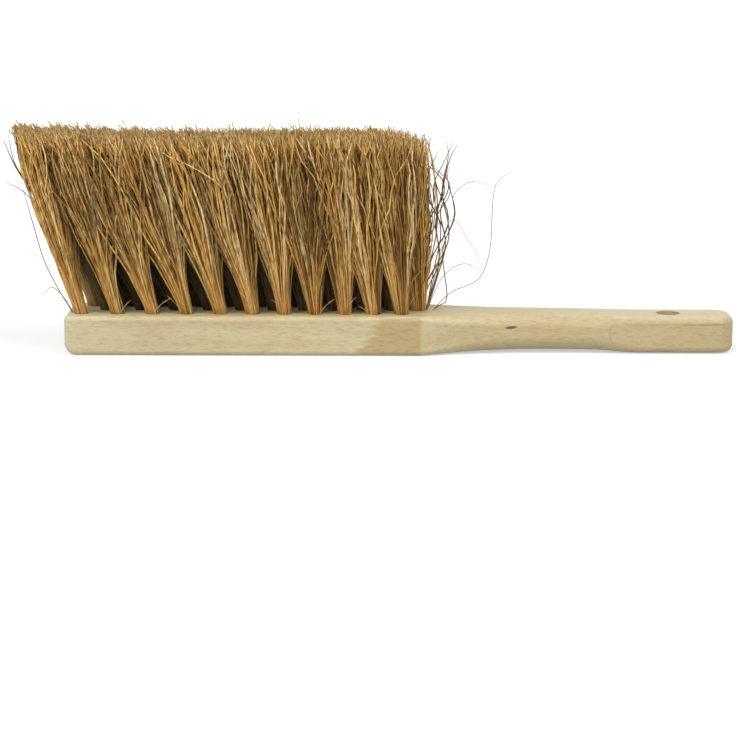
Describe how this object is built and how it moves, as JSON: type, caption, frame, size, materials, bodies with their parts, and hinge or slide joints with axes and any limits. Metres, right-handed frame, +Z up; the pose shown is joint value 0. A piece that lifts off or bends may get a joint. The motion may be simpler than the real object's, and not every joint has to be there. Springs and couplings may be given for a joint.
{
  "type": "hand broom",
  "caption": "Hand broom with a one-piece beech head and waisted handle, rows of fanned coir tufts and a hanging hole in the grip end.",
  "frame": {"origin": "middle of the head's flat back, under the field of tufts", "axes": "+X from the head towards the handle's end, +Z up from the flat back through the tufts, +Y across the head towards its back row of tufts"},
  "size_m": [0.302, 0.0366, 0.092],
  "materials": {
    "beech": "plain sanded beech, matt, unvarnished",
    "coir": "dry golden-brown coconut fibre, slight sheen along the fibre",
    "staple_wire": "bright drawn wire"
  },
  "bodies": {
    "root": {"stock": "beech", "tuft_staples": "staple_wire", "tuft_front_01": "coir", "tuft_front_02": "coir", "tuft_front_03": "coir", "tuft_front_04": "coir", "tuft_front_05": "coir", "tuft_front_06": "coir", "tuft_front_07": "coir", "tuft_front_08": "coir", "tuft_front_09": "coir", "tuft_front_10": "coir", "tuft_front_11": "coir", "tuft_middle_01": "coir", "tuft_middle_02": "coir", "tuft_middle_03": "coir", "tuft_middle_04": "coir", "tuft_middle_05": "coir", "tuft_middle_06": "coir", "tuft_middle_07": "coir", "tuft_middle_08": "coir", "tuft_middle_09": "coir", "tuft_middle_10": "coir", "tuft_middle_11": "coir", "tuft_back_01": "coir", "tuft_back_02": "coir", "tuft_back_03": "coir", "tuft_back_04": "coir", "tuft_back_05": "coir", "tuft_back_06": "coir", "tuft_back_07": "coir", "tuft_back_08": "coir", "tuft_back_09": "coir", "tuft_back_10": "coir", "tuft_back_11": "coir"}
  },
  "joints": []
}
